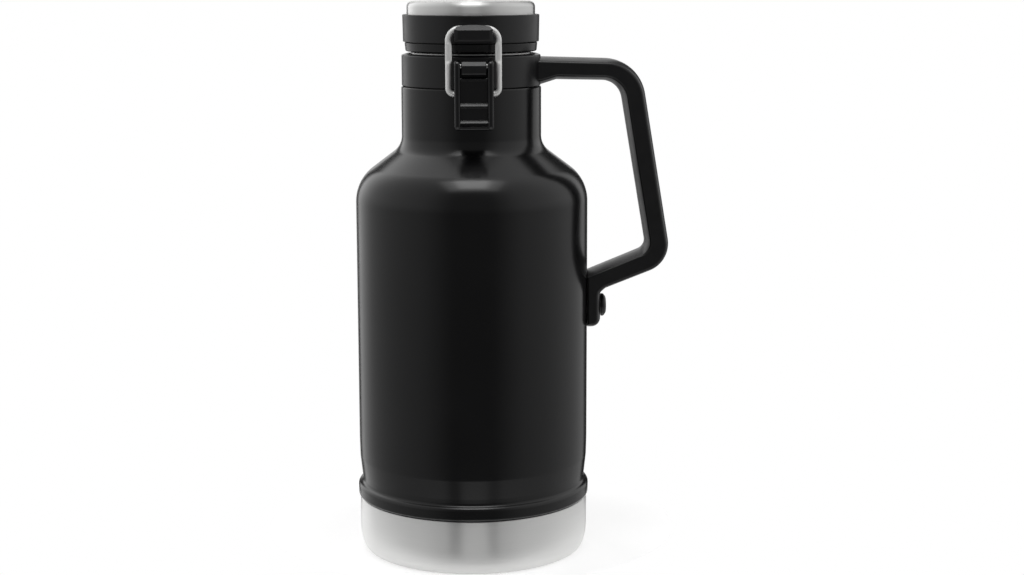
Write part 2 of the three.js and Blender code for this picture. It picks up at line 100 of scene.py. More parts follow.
COLLAR_R = HANDLE_HIGH.y
COLLAR_BORE_R = SEAT_R + 0.4
COLLAR_TOP = HANDLE_HIGH.z
HANDLE_DEPTH = 22.0
HANDLE_EDGE = 1.0      # rounding of the handle's long edges
HANDLE_CROWN = 2.2     # how far its sides bulge between them
SCREW_Z = 129.3        # axis of the handle's screw
LUG_X = 67.7           # outer face of the handle's foot
BOSS_RECESS = BODY_R + 1.7  # end of the foot's recess for the threaded boss
COLLAR_CUT = (240, 270)  # heights of a tool that clears the collar
COLLAR_PAD = (247, 260)  # heights of the pads on the collar

FLANGE_LOW = 263.4
FLANGE_TOP = 268.0
RING_LOW = RING_BOX_LOW.z
RING_TOP = RING_BOX_HIGH.z
RING_R = RING_BOX_HIGH.x
RING_BORE_R = 33.6
CAP_R = CAP_BOX_HIGH.x
CAP_LOW = CAP_BOX_LOW.z
CAP_TOP = CAP_BOX_HIGH.z
PLUG_R = PLUG_BOX_HIGH.x
PLUG_LOW = PLUG_BOX_LOW.z
PLUG_JOINT_Z = 251.2   # where the plug's wall stands on its base
LID_SKIN = 1.8         # plastic wall of the lid's body
RING_CUT = (260, 290)  # heights of a tool that clears the lid's ring

JOINTS = {joint["name"]: joint for joint in frame["joints"]}
LEVER_PIN_Y, LEVER_PIN_Z = (v / MM for v in JOINTS["lever_pivot"]["pos_m"][1:])
BAIL_PIVOT_Y, BAIL_PIVOT_Z = (v / MM for v in JOINTS["bail_pivot"]["pos_m"][1:])
HINGE_Y, HINGE_Z = (v / MM for v in JOINTS["lid_hinge"]["pos_m"][1:])
LEVER_PIN_R = 1.3
HINGE_PIN_R = 1.5
BAIL_BAR_Y = -38.4
BAIL_BAR_Z = 275.8
WIRE_R = 1.4
BAIL_HALF_WIDTH = 12.7  # centre line of each side of the wire
LEVER_HALF_WIDTH = LEVER_BOX_HIGH.x
LEVER_LOW = LEVER_BOX_LOW.z
RAIL_WIDTH = 3.0
CATCH_HALF_WIDTH = CATCH_BOX_HIGH.x
BOSS_HALF_WIDTH = 6.3
KNUCKLE_R = 3.4
KNUCKLE_FILLET = KNUCKLE_R - 0.01  # just short of meeting the next corner's
KNUCKLE_HALF_WIDTH = 6.0
HINGE_HALF_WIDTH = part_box("hinge_bracket")[1].x / MM

# ---------- mesh helpers ----------

TURNS = 180          # facets around the large turned pieces
TURNS_SMALL = 48     # facets around pins, screws and wire
CHORD = 0.008        # how far an arc's chords may stray from it
WIDEST_FACET = 0.9   # cosine of half the turn that one facet of an arc may make
LEAST_FILLET = 0.001
MERGE = 1e-7         # metres within which points are one
EDGE_STEPS = 5       # facets across a rounded edge
CROWN_STEPS = 6      # facets across half of a crowned side


def outline(corners, closed=True, inset=0.0):
    """Corner list (x, y, fillet radius) to points, each fillet as an arc.
    A closed outline may be inset, and keeps its number of points."""
    points = []
    count = len(corners)
    area = sum(
        corners[i][0] * corners[(i + 1) % count][1] - corners[(i + 1) % count][0] * corners[i][1]
        for i in range(count)
    )
    winding = 1 if area > 0 else -1
    for i, corner in enumerate(corners):
        here = Vector(corner[:2])
        radius = corner[2] if len(corner) > 2 else 0.0
        if not closed and i in (0, count - 1):
            points.append(here)
            continue
        into = (here - Vector(corners[i - 1][:2])).normalized()
        out = (Vector(corners[(i + 1) % count][:2]) - here).normalized()
        turn = into.x * out.y - into.y * out.x
        normals = [Vector((-d.y, d.x)) * winding for d in (into, out)]
        here = here + (normals[0] + normals[1]) * (inset / (1 + normals[0].dot(normals[1])))
        if radius == 0:
            points.append(here)
            continue
        sweep = abs(math.atan2(turn, into.dot(out)))
        step = 2 * math.acos(max(1 - CHORD / radius, WIDEST_FACET))
        steps = max(2, math.ceil(sweep / step))
        kept = max(radius - inset * winding * math.copysign(1, turn), LEAST_FILLET)
        trim = kept * math.tan(sweep / 2)
        side = Vector((-into.y, into.x)) * math.copysign(1, turn)
        centre = here - into * trim + side * kept
        for k in range(steps + 1):
            angle = math.copysign(sweep * k / steps, turn)
            arm = -side * kept
            spun = Vector((
                arm.x * math.cos(angle) - arm.y * math.sin(angle),
                arm.x * math.sin(angle) + arm.y * math.cos(angle),
            ))
            points.append(centre + spun)
    return points


def new_object(name, vertices, faces):
    """Mesh object from millimetre vertices, with its faces pointing out."""
    mesh = bpy.data.meshes.new(name)
    mesh.from_pydata([tuple(Vector(v) * MM) for v in vertices], [], faces)
    work = bmesh.new()
    work.from_mesh(mesh)
    bmesh.ops.remove_doubles(work, verts=work.verts, dist=MERGE)
    bmesh.ops.recalc_face_normals(work, faces=work.faces)
    work.to_mesh(mesh)
    work.free()
    piece = bpy.data.objects.new(name, mesh)
    bpy.context.scene.collection.objects.link(piece)
    return piece


def upright_axis(radius, height, angle):
    """A turned point about the vessel's axis."""
    return (radius * math.cos(angle), radius * math.sin(angle), height)


def screw_axis(radius, height, angle):
    """A turned point about the handle screw's axis, which points along +X."""
    return (height, radius * math.cos(angle), SCREW_Z + radius * math.sin(angle))


def turned(name, corners, ring=False, turns=TURNS, place=upright_axis):
    """Turned piece from (radius, height, fillet) corners.
    An open profile starts and ends on the axis, a ring closes on itself."""
    profile = outline(corners, closed=ring)
    vertices, rows = [], []
    for point in profile:
        if point.x < 1e-6:
            rows.append([len(vertices)] * turns)
            vertices.append(place(0, point.y, 0))
            continue
        rows.append(list(range(len(vertices), len(vertices) + turns)))
        vertices += [place(point.x, point.y, 2 * math.pi * k / turns) for k in range(turns)]
    faces = []
    for i in range(len(rows) if ring else len(rows) - 1):
        low, high = rows[i], rows[(i + 1) % len(rows)]
        for k in range(turns):
            around = [low[k], low[(k + 1) % turns], high[(k + 1) % turns], high[k]]
            faces.append(list(dict.fromkeys(around)))
    return new_object(name, vertices, faces)


def front_plane(u, v, w):
    return (u, w, v)


def side_plane(u, v, w):
    return (w, u, v)


def top_plane(u, v, w):
    return (u, v, w)


def plate(name, corners, depth, middle=0.0, edge=0.0, crown=0.0, plane=front_plane):
    """Outline extruded about a plane, its long edges rounded by edge.
    With a crown the sides bulge by that much between the edges."""
    half = depth / 2
    quarter = [k / EDGE_STEPS * math.pi / 2 for k in range(EDGE_STEPS + 1)] if edge > 0 else [math.pi / 2]
    layers = [(edge * (1 - math.sin(a)), half - edge * (1 - math.cos(a))) for a in quarter]
    if crown > 0:
        layers += [(0, (half - edge) * (1 - k / CROWN_STEPS)) for k in range(1, CROWN_STEPS)]
        layers = [(inset + crown * (height / half) ** 2, height) for inset, height in layers]
    layers += [(inset, -height) for inset, height in reversed(layers)]
    vertices, rows = [], []
    for inset, height in layers:
        points = outline(corners, inset=inset)
        rows.append(range(len(vertices), len(vertices) + len(points)))
        vertices += [plane(p.x, p.y, middle + height) for p in points]
    count = len(rows[0])
    faces = [list(rows[0]), list(rows[-1])]
    for low, high in zip(rows, rows[1:]):
        for k in range(count):
            faces.append([low[k], low[(k + 1) % count], high[(k + 1) % count], high[k]])
    return new_object(name, vertices, faces)


def swept(name, route, section):
    """Solid along a flat route. section(i) gives the ring of (in-plane, out-of-plane) offsets at
    point i, where in-plane is to the route's left, seen against its plane's normal."""
    count = len(route)
    normal = (route[count // 2] - route[0]).cross(route[-1] - route[0]).normalized()
    vertices, rows = [], []
    for i, point in enumerate(route):
        tangent = (route[min(i + 1, count - 1)] - route[max(i - 1, 0)]).normalized()
        left = normal.cross(tangent)
        ring = section(i)
        rows.append(range(len(vertices), len(vertices) + len(ring)))
        vertices += [point + left * a + normal * b for a, b in ring]
    turns = len(rows[0])
    faces = [list(rows[0]), list(rows[-1])]
    for low, high in zip(rows, rows[1:]):
        for k in range(turns):
            faces.append([low[k], low[(k + 1) % turns], high[(k + 1) % turns], high[k]])
    return new_object(name, vertices, faces)


def upright(radius, low, high):
    """Cylinder tool about the vessel's axis."""
    return turned("tool", [(0, low), (radius, low), (radius, high), (0, high)])


def rod(radius, half_length, y, z, x=0.0, round_ends=0.0):
    """Round bar along X about (y, z)."""
    def place(r, along, angle):
        return (x + along, y + r * math.cos(angle), z + r * math.sin(angle))

    corners = [(0, -half_length), (radius, -half_length, round_ends)]
    corners += [(radius, half_length, round_ends), (0, half_length)]
    return turned("rod", corners, turns=TURNS_SMALL, place=place)


def drill(radius, y, z):
    """Tool for a hole along X, longer than any piece that it goes through."""
    return rod(radius, 14, y, z)


def pad(name, half_width, heights, depth, middle):
    """Upright pad with rounded corners, which a bracket grows from."""
    low, high = heights
    corners = [(-half_width, low, 1), (half_width, low, 1), (half_width, high, 1), (-half_width, high, 1)]
    return plate(name, corners, depth, middle=middle, edge=0.4)


def apply_modifiers(piece):
    """Turns a piece's modifiers into its mesh."""
    bpy.context.view_layer.update()
    graph = bpy.context.evaluated_depsgraph_get()
    mesh = bpy.data.meshes.new_from_object(piece.evaluated_get(graph))
    piece.modifiers.clear()
    piece.data = mesh
    return piece


def combine(piece, operation, *tools):
    """Joins, cuts or intersects a piece with tools, which are used up."""
    for tool in tools:
        modifier = piece.modifiers.new("combine", "BOOLEAN")
        modifier.operation = operation
        modifier.solver = "MANIFOLD"
        modifier.object = tool
        apply_modifiers(piece)
        bpy.data.objects.remove(tool)
    return piece


def join(piece, *tools):
    return combine(piece, "UNION", *tools)


def cut(piece, *tools):
    return combine(piece, "DIFFERENCE", *tools)


def keep_inside(piece, limit):
    return combine(piece, "INTERSECT", limit)


# ---------- materials ----------

class Finish:
    """A Principled material, with short calls for the procedural nodes that feed it."""

    def __init__(self, name, color, roughness, **sockets):
        self.material = bpy.data.materials.new(name)
        self.material.use_nodes = True
        self.nodes = self.material.node_tree.nodes
        self.links = self.material.node_tree.links
        self.shader = self.nodes["Principled BSDF"]
        self.color = color
        self.shader.inputs["Base Color"].default_value = (*color, 1)
        self.shader.inputs["Roughness"].default_value = roughness
        for socket, value in sockets.items():
            self.shader.inputs[socket.replace("_", " ")].default_value = value
        self.place = self.nodes.new("ShaderNodeTexCoord").outputs["Object"]
        self.normal = None

    def link(self, source, target):
        self.links.new(source, target)

    def math(self, operation, a, b=None):
        node = self.nodes.new("ShaderNodeMath")
        node.operation = operation
        for socket, value in zip(node.inputs, (a, b)):
            if value is None:
                continue
            if isinstance(value, (int, float)):
                socket.default_value = value
            else:
                self.link(value, socket)
        return node.outputs[0]

    def noise(self, size, detail=2.0, vector=None, stretch=(1, 1, 1), roughness=0.5):
        """Noise whose features are about size millimetres across."""
        scale = self.nodes.new("ShaderNodeVectorMath")
        scale.operation = "MULTIPLY"
        scale.inputs[1].default_value = [s / (size * MM) for s in stretch]
        self.link(vector or self.place, scale.inputs[0])
        node = self.nodes.new("ShaderNodeTexNoise")
        node.inputs["Scale"].default_value = 1.0
        node.inputs["Detail"].default_value = detail
        node.inputs["Roughness"].default_value = roughness
        self.link(scale.outputs[0], node.inputs["Vector"])
        return node.outputs[0]

    def spread(self, value, low, high, start=0.3, end=0.7):
        """A 0 to 1 value, remapped to low to high."""
        node = self.nodes.new("ShaderNodeMapRange")
        node.inputs["From Min"].default_value = start
        node.inputs["From Max"].default_value = end
        node.inputs["To Min"].default_value = low
        node.inputs["To Max"].default_value = high
        self.link(value, node.inputs["Value"])
        return node.outputs[0]

    def tint(self, value, dark, light):
        """Base colour between dark and light shares of the finish's colour."""
        node = self.nodes.new("ShaderNodeMix")
        node.data_type = "RGBA"
        node.inputs["A"].default_value = (*[c * dark for c in self.color], 1)
        node.inputs["B"].default_value = (*[c * light for c in self.color], 1)
        self.link(value, node.inputs["Factor"])
        self.link(node.outputs["Result"], self.shader.inputs["Base Color"])

    def gloss(self, value, low, high):
        """Roughness that varies from low to high."""
        self.link(self.spread(value, low, high), self.shader.inputs["Roughness"])

    def bump(self, value, height):
        """Relief about height millimetres deep."""
        node = self.nodes.new("ShaderNodeBump")
        node.inputs["Strength"].default_value = 1.0
        node.inputs["Distance"].default_value = height * MM
        self.link(value, node.inputs["Height"])
        if self.normal:
            self.link(self.normal, node.inputs["Normal"])
        self.normal = node.outputs[0]
        self.link(self.normal, self.shader.inputs["Normal"])

    def lathe_lines(self, width, length):
        """Fine lines around +Z: width mm apart and about length radians long."""
        split = self.nodes.new("ShaderNodeSeparateXYZ")
        self.link(self.place, split.inputs[0])
        x, y, z = split.outputs
        squares = self.math("ADD", self.math("MULTIPLY", x, x), self.math("MULTIPLY", y, y))
        radius = self.math("MAXIMUM", self.math("POWER", squares, 0.5), 1e-5)
        node = self.nodes.new("ShaderNodeTexNoise")
        node.noise_dimensions = "4D"
        node.inputs["Scale"].default_value = 1.0
        node.inputs["Detail"].default_value = 3.0
        vector = self.nodes.new("ShaderNodeCombineXYZ")
        self.link(self.math("DIVIDE", self.math("DIVIDE", x, radius), length), vector.inputs[0])
        self.link(self.math("DIVIDE", self.math("DIVIDE", y, radius), length), vector.inputs[1])
        self.link(self.math("DIVIDE", z, width * MM), vector.inputs[2])
        self.link(vector.outputs[0], node.inputs["Vector"])
        self.link(self.math("DIVIDE", radius, width * MM), node.inputs["W"])
        return node.outputs[0]

    def ring_tangent(self):
        """Brushing runs around +Z."""
        node = self.nodes.new("ShaderNodeTangent")
        node.direction_type = "RADIAL"
        node.axis = "Z"
        self.link(node.outputs[0], self.shader.inputs["Tangent"])


def powder_coat():
    finish = Finish("black_coat", (0.0022, 0.0022, 0.0025), 0.2)
    finish.tint(finish.noise(14, detail=3), 0.8, 1.25)
    finish.gloss(finish.noise(22, detail=4), 0.18, 0.22)
    finish.bump(finish.noise(1.6, detail=1), 0.006)
    finish.bump(finish.noise(0.35, detail=2), 0.002)
    return finish.material


def moulded_black(name, color, low, high, grain):
    """Moulded plastic with a fine spark-eroded grain."""
    finish = Finish(name, color, (low + high) / 2)
    finish.tint(finish.noise(9, detail=3), 0.85, 1.15)
    finish.gloss(finish.noise(6, detail=3), low, high)
    finish.bump(finish.noise(0.4, detail=2, roughness=0.7), grain)
    return finish.material


def brushed_steel():
    finish = Finish("brushed_steel", (0.80, 0.80, 0.79), 0.33, Metallic=0.95, Anisotropic=1.0)
    finish.shader.inputs["Anisotropic Rotation"].default_value = 0.25
    finish.ring_tangent()
    lines = finish.lathe_lines(0.18, 0.35)
    finish.tint(lines, 0.96, 1.04)
    finish.gloss(finish.lathe_lines(0.5, 0.6), 0.3, 0.36)
    finish.bump(lines, 0.0006)
    return finish.material


def plain_steel():
    finish = Finish("plain_steel", (0.46, 0.46, 0.455), 0.35, Metallic=1.0)
    finish.tint(finish.noise(3, detail=4), 0.85, 1.1)
    finish.gloss(finish.noise(1.5, detail=3), 0.28, 0.42)
    finish.bump(finish.noise(0.3, detail=2, stretch=(0.2, 1, 1)), 0.002)
    return finish.material


def bright_wire():
    finish = Finish("bright_wire", (0.95, 0.95, 0.94), 0.56, Metallic=0.9)
    drawn = finish.noise(0.25, detail=2, stretch=(1, 1, 0.03))
    finish.tint(drawn, 0.92, 1.06)
    finish.gloss(finish.noise(2, detail=3), 0.52, 0.6)
    finish.bump(drawn, 0.001)
    return finish.material


def silicone():
    finish = Finish("silicone", (0.14, 0.145, 0.15), 0.62, Specular_IOR_Level=0.35)
    finish.tint(finish.noise(5, detail=4), 0.9, 1.1)
    finish.gloss(finish.noise(3, detail=3), 0.55, 0.7)
    finish.bump(finish.noise(0.5, detail=2), 0.002)
    return finish.material


def rigid_foam():
    finish = Finish("foam", (0.66, 0.60, 0.44), 0.9)
    cells = finish.noise(0.8, detail=3)
    finish.tint(cells, 0.8, 1.1)
    finish.gloss(cells, 0.85, 0.95)
    finish.bump(cells, 0.05)
    return finish.material


MATERIALS = {
    "black_coat": powder_coat(),
    "matte_black": moulded_black("matte_black", (0.004, 0.004, 0.0045), 0.3, 0.37, 0.006),
    "satin_black": moulded_black("satin_black", (0.003, 0.003, 0.0035), 0.22, 0.28, 0.003),
    "brushed_steel": brushed_steel(),
    "plain_steel": plain_steel(),
    "bright_wire": bright_wire(),
    "silicone": silicone(),
    "foam": rigid_foam(),
}


def finish_piece(piece, node, smooth=32):
    """A fine piece takes a CAD node's name, body, slot and finish, and stands for it."""
    slots = {part["node"]: part["material_slot"] for part in frame["record"]["subparts"]}
    bodies = frame["record"]["behaviour"]["bodies"]
    piece.name = node + "_surface"
    piece.data.name = piece.name
    piece.data.materials.clear()
    piece.data.materials.append(MATERIALS[slots[node]])
    for polygon in piece.data.polygons:
        polygon.use_smooth = True
    piece.data.set_sharp_from_angle(angle=math.radians(smooth))
    weighted = piece.modifiers.new("weighted_normals", "WEIGHTED_NORMAL")
    weighted.keep_sharp = True
    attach(piece, next(body for body, nodes in bodies.items() if node in nodes))
    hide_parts(node)
    return piece


# ---------- vessel ----------

def outer_shell():
    t = WALL
    skirt_r = BASE_R - WALL - GAP
    low = SHELL_LOW.z
    return turned("outer_shell", [
        (skirt_r, low), (skirt_r, BASE_TOP + 0.4), (BEAD_R, BASE_TOP + 0.4, 1.3), (BEAD_R, 35.3, 2.2),
        (GROOVE_R, 36.8, 1.6), (GROOVE_R + 0.3, 40, 3), (60.3, 50, 12), (BODY_R, 60),
        (BODY_R, SHOULDER_Z, 22), (NECK_R, NECK_FOOT_Z, 10), (NECK_R, NECK_TOP, 0.9), (SEAT_R, NECK_TOP),
        (SEAT_R, SEAT_TOP), (SEAT_R - t, SEAT_TOP), (SEAT_R - t, NECK_TOP - t), (NECK_R - t, NECK_TOP - t),
        (NECK_R - t, NECK_FOOT_Z - 0.5 * t, 10 + t), (BODY_R - t, SHOULDER_Z - 0.5 * t, 22 - t),
        (BODY_R - t, 60), (GROOVE_R - t, 42, 8), (GROOVE_R - t, 35), (skirt_r - t, 33), (skirt_r - t, low),
    ], ring=True)


def inner_vessel():
    t = WALL
    neck_r = MOUTH_R + t
    foot_z = INNER_SHOULDER_Z + (INNER_R - neck_r) * INNER_SLOPE
    return turned("inner_vessel", [
        (INNER_R - t, INNER_WELD_Z), (INNER_R, INNER_WELD_Z), (INNER_R, INNER_SHOULDER_Z, 15),
        (neck_r, foot_z, 8), (neck_r, LIP_TOP - 1.2), (LIP_R, LIP_TOP - 1.2), (LIP_R, LIP_TOP, 0.4),
        (30.65, LIP_TOP, 0.2), (MOUTH_R, 257.8, 4), (MOUTH_R, foot_z - 0.5 * t, 8 + t),
        (INNER_R - t, INNER_SHOULDER_Z - 0.5 * t, 15 - t),
    ], ring=True)


def inner_bottom():
    t = WALL
    rim_z = INNER_WELD_Z - GAP
    return turned("inner_bottom", [
        (0, INNER_FLOOR), (INNER_R, INNER_FLOOR, INNER_ROUND), (INNER_R, rim_z), (INNER_R - t, rim_z),
        (INNER_R - t, INNER_FLOOR + t, INNER_ROUND - t), (0, INNER_FLOOR + t),
    ])


def base_cup():
    """The side rolls under as a quarter ellipse, and the underside has a rim, a groove and a flat centre."""
    t = WALL
    roll_height = 13
    roll_inset = 4
    roll_steps = 18

    def roll(inset):
        points = []
        for k in range(1, roll_steps + 1):
            angle = k / (roll_steps + 1) * math.pi / 2
            radius = BASE_R - inset - roll_inset * (1 - math.cos(angle))
            points.append((radius, roll_height - (roll_height - inset) * math.sin(angle)))
        return points

    return turned("base_cup", [
        (0, 0), (22, 0, 1), (23.5, 1, 1), (49.5, 1, 1), (51, 0, 1), (BASE_R - roll_inset, 0),
        *reversed(roll(0)), (BASE_R, roll_height), (BASE_R, BASE_TOP, 0.3), (BASE_R - t, BASE_TOP),
        (BASE_R - t, roll_height), *roll(t), (BASE_R - roll_inset - t, 1 + t), (0, 1 + t),
    ])


# ---------- handle ----------

def handle():
    collar = turned("handle", [
        (COLLAR_BORE_R, NECK_TOP + 0.35), (COLLAR_R, NECK_TOP + 0.35, 0.4),
        (COLLAR_R, COLLAR_TOP - 0.8, 0.6), (COLLAR_R - 2.4, COLLAR_TOP, 0.4), (COLLAR_BORE_R, COLLAR_TOP),
    ], ring=True)
    bar = plate("bar", [
        (29, 260.7), (87.6, 258.9, 22), (105.4, 152.2, 15.5), (70.2, 138.6, 1.6), (LUG_X, 136.4, 1.2),
        (LUG_X, 118, 5), (58, 118), (58, 147), (91.6, 160.6, 5), (76.9, 247.9, 11), (44, 248.6, 3),
        (36.4, 246.2), (29, 246.2),
    ], HANDLE_DEPTH, edge=HANDLE_EDGE, crown=HANDLE_CROWN)
    screw_hole = [(0, 50), (2.4, 50), (2.4, 64.2), (5.6, 64.2), (5.6, 75), (0, 75)]
    boss_seat = [(0, 55), (4.8, 55), (4.8, BOSS_RECESS), (0, BOSS_RECESS)]
    return cut(
        join(collar, bar),
        upright(COLLAR_BORE_R, *COLLAR_CUT),
        upright(BODY_R + GAP, 100, 200),
        turned("tool", boss_seat, turns=TURNS_SMALL, place=screw_axis),
        turned("tool", screw_hole, turns=TURNS_SMALL, place=screw_axis),
    )


def handle_screw_cap():
    plug_r = 5.3
    head_r = 6
    head_end = LUG_X + 2.9
    return turned("handle_screw_cap", [
        (0, LUG_X - 0.2), (plug_r, LUG_X - 0.2), (plug_r, LUG_X + GAP), (head_r, LUG_X + GAP, 0.3),
        (head_r, LUG_X + 1.6, 1.2), (head_r - 1.8, head_end, 1.5), (0, head_end),
    ], turns=TURNS_SMALL * 2, place=screw_axis)


# ---------- latch ----------

def latch_bracket():
    boss = plate("boss", [
        (-35, 252.9), (-44.3, 252.9, 1.2), (-44.6, 257.6, 0.8), (-42.8, 259.7, 0.4), (-35, 259.7),
    ], 2 * BOSS_HALF_WIDTH, edge=0.5, plane=side_plane)
    mount = pad("latch_bracket", 8.6, COLLAR_PAD, 4, -35.6)
    return cut(
        join(mount, boss),
        upright(COLLAR_R + GAP, *COLLAR_CUT),
        drill(LEVER_PIN_R + PIN_CLEARANCE, LEVER_PIN_Y, LEVER_PIN_Z),
    )


def lever_pin():
    return rod(LEVER_PIN_R, LEVER_HALF_WIDTH - 0.2, LEVER_PIN_Y, LEVER_PIN_Z, round_ends=0.3)


def latch_lever():
    """Two side rails and a web between them, whose front has a step, a ledge and a finger lip."""
    rail_side = [
        (-38.7, 260.4, 2.8), (-45.3, 260.4, 2.8), (-45.6, 243, 8), (-47, 228, 3), (-46.4, LEVER_LOW, 1.2),
        (-42.8, LEVER_LOW, 1), (-42, 233, 6), (-38.1, 240.5, 2),
    ]
    rail_x = LEVER_HALF_WIDTH - RAIL_WIDTH / 2
    rails = [
        plate("rail", rail_side, RAIL_WIDTH, middle=x, edge=1.2, plane=side_plane) for x in (-rail_x, rail_x)
    ]
    web = plate("latch_lever", [
        (-40.2, 251.9, 0.5), (-42.2, 251.9, 0.3), (-43, 251.1, 0.3), (-43, 250.6, 0.1), (-42.3, 250.2, 0.2),
        (-42.5, 239, 0.3), (-43.9, 238.8, 0.2), (-44.9, 237.8, 0.3), (-44.9, 237.2, 0.2), (-43.2, 236.8, 0.3),
        (-43.6, 230.6, 0.3), (-45.4, 230.4, 0.2), (-46.3, 229.5, 0.3), (-46.4, 228.9, 0.1),
        (-45.7, 228.5, 0.1), (-45.7, 228.1, 0.1), (-46.7, 227.7, 0.1), (-46.4, LEVER_LOW, 1),
        (-42.8, LEVER_LOW, 1), (-41.8, 236, 3),
    ], 2 * (LEVER_HALF_WIDTH - RAIL_WIDTH) + 1, plane=side_plane)
    top = 260.6
    front = plate("tool", [
        (-LEVER_HALF_WIDTH, LEVER_LOW, 2), (LEVER_HALF_WIDTH, LEVER_LOW, 2),
        (LEVER_HALF_WIDTH, top, 0.6), (-LEVER_HALF_WIDTH, top, 0.6),
    ], 30, middle=-42)
    return cut(
        keep_inside(join(web, *rails), front),
        drill(LEVER_PIN_R + PIN_CLEARANCE, LEVER_PIN_Y, LEVER_PIN_Z),
        drill(WIRE_R + GAP, BAIL_PIVOT_Y, BAIL_PIVOT_Z),
    )


def latch_bail():
    """Wire loop: hooked ends in the lever's rails, two sides and a slightly bowed bar.
    A stretch of each side is coined flat, and grows towards the middle."""
    low_round = 2.9
    high_round = 6
    bow = 0.3
    spacing = 0.6
    coined_middle = 263.9
    coined_half = 3.6
    coined_ramp = 2.2
    coined_inset = 0.25
    coined_growth = 0.25
    coined_thin = 0.6
    half = outline([
        (LEVER_HALF_WIDTH - RAIL_WIDTH + 0.2, BAIL_PIVOT_Z), (BAIL_HALF_WIDTH, BAIL_PIVOT_Z, low_round),
        (BAIL_HALF_WIDTH, BAIL_BAR_Z, high_round), (0, BAIL_BAR_Z + bow),
    ], closed=False)
    fine = []
    for a, b in zip(half, half[1:]):
        steps = max(1, round((b - a).length / spacing))
        fine += [a.lerp(b, k / steps) for k in range(steps)]
    fine.append(half[-1])

    def lean(z):
        along = (z - BAIL_PIVOT_Z) / (BAIL_BAR_Z - BAIL_PIVOT_Z)
        return BAIL_PIVOT_Y + (BAIL_BAR_Y - BAIL_PIVOT_Y) * min(along, 1)

    right = [Vector((p.x, lean(p.y), p.y)) for p in fine]
    left = [Vector((-p.x, p.y, p.z)) for p in reversed(right[:-1])]
    route = right + left

    def section(i):
        point = route[i]
        away = max(abs(point.z - coined_middle) - coined_half, 0) / coined_ramp
        on_side = abs(point.x) > BAIL_HALF_WIDTH - 0.5
        share = (0.5 + 0.5 * math.cos(math.pi * min(away, 1))) if on_side else 0
        inward = coined_inset * share
        wide = WIRE_R + coined_growth * share
        thin = WIRE_R - coined_thin * share
        angles = [2 * math.pi * k / TURNS_SMALL for k in range(TURNS_SMALL)]
        return [(inward + wide * math.cos(a), thin * math.sin(a)) for a in angles]

    return swept("latch_bail", route, section)


# ---------- lid ----------

def lid_ring():
    return turned("lid_ring", [
        (RING_BORE_R, RING_LOW), (RING_R - 0.25, RING_LOW, 0.4), (RING_R, RING_TOP, 0.5),
        (RING_BORE_R, RING_TOP),
    ], ring=True)


def lid_body():
    """A closed cup upside down, with a flange round its foot and the plug's wall below it."""
    t = LID_SKIN
    cup_r = 32
    cup_top = 281
    ledge_z = FLANGE_LOW + 1.6
    plug_end = PLUG_JOINT_Z + GAP
    return turned("lid_body", [
        (0, cup_top), (cup_r, cup_top, 1), (cup_r, FLANGE_TOP), (34.35, FLANGE_TOP, 0.5),
        (33.9, FLANGE_LOW, 0.9), (PLUG_R, FLANGE_LOW), (PLUG_R, plug_end), (PLUG_R - t, plug_end),
        (PLUG_R - t, ledge_z), (cup_r - t, ledge_z), (cup_r - t, cup_top - t), (0, cup_top - t),
    ])


def lid_cap():
    t = WALL
    return turned("lid_cap", [
        (0, CAP_TOP), (CAP_R, CAP_TOP - 0.3, 3), (CAP_R, CAP_LOW), (CAP_R - t, CAP_LOW),
        (CAP_R - t, CAP_TOP - 0.3 - t, 3 - t), (0, CAP_TOP - t),
    ])


def plug_base():
    """A disc with a spigot that centres it in the plug's wall."""
    spigot_r = 22.9
    spigot_top = PLUG_JOINT_Z + 2
    return turned("plug_base", [
        (0, PLUG_LOW), (PLUG_R, PLUG_LOW, 1.2), (PLUG_R, PLUG_JOINT_Z), (spigot_r, PLUG_JOINT_Z),
        (spigot_r, spigot_top), (0, spigot_top),
    ])


def lid_gasket():
    """A ring round the plug, flared to meet the flare of the mouth."""
    bore_r = PLUG_R + GAP
    low = 258.2
    top = FLANGE_LOW - 0.4
    wide_r = 29.6
    return turned("lid_gasket", [
        (bore_r, low), (26.9, low, 0.4), (27.4, 259.4, 0.8), (wide_r, 262.2, 0.2), (wide_r, top),
        (bore_r, top),
    ], ring=True)


def lid_catch():
    """A hook open at its top, whose lip has a bevelled, slightly arched top and chamfered sides."""
    lip_back = BAIL_BAR_Y - WIRE_R - 0.4
    slot_floor = BAIL_BAR_Z - WIRE_R - 1.6
    slot_back = -36.6
    low = CATCH_BOX_LOW.z
    top = 278
    front = CATCH_BOX_LOW.y
    wide = CATCH_HALF_WIDTH
    hook = plate("lid_catch", [
        (-33, low), (-42.3, low, 0.6), (front, 270.4, 0.5), (front, 275.1, 0.4), (lip_back - 0.1, top, 0.2),
        (lip_back, slot_floor, 0.8), (slot_back, slot_floor, 0.8), (slot_back, top, 0.3), (-33, top),
    ], 2 * wide, plane=side_plane)
    face = plate("tool", [
        (-wide, low, 0.8), (wide, low, 0.8), (wide, 275.4, 1), (wide - 1.3, 277, 0.5), (0, 278.2, 40),
        (1.3 - wide, 277, 0.5), (-wide, 275.4, 1),
    ], 30, middle=-40)
    chamfer_y = front + 0.7
    chamfer_x = wide - 1.8
    plan = plate("tool", [
        (-wide, -30), (-wide, chamfer_y, 0.3), (-chamfer_x, front - 0.01, 0.3),
        (chamfer_x, front - 0.01, 0.3), (wide, chamfer_y, 0.3), (wide, -30),
    ], 20, middle=274, plane=top_plane)
    return cut(keep_inside(keep_inside(hook, face), plan), upright(RING_R + GAP, *RING_CUT))


# ---------- hinge ----------

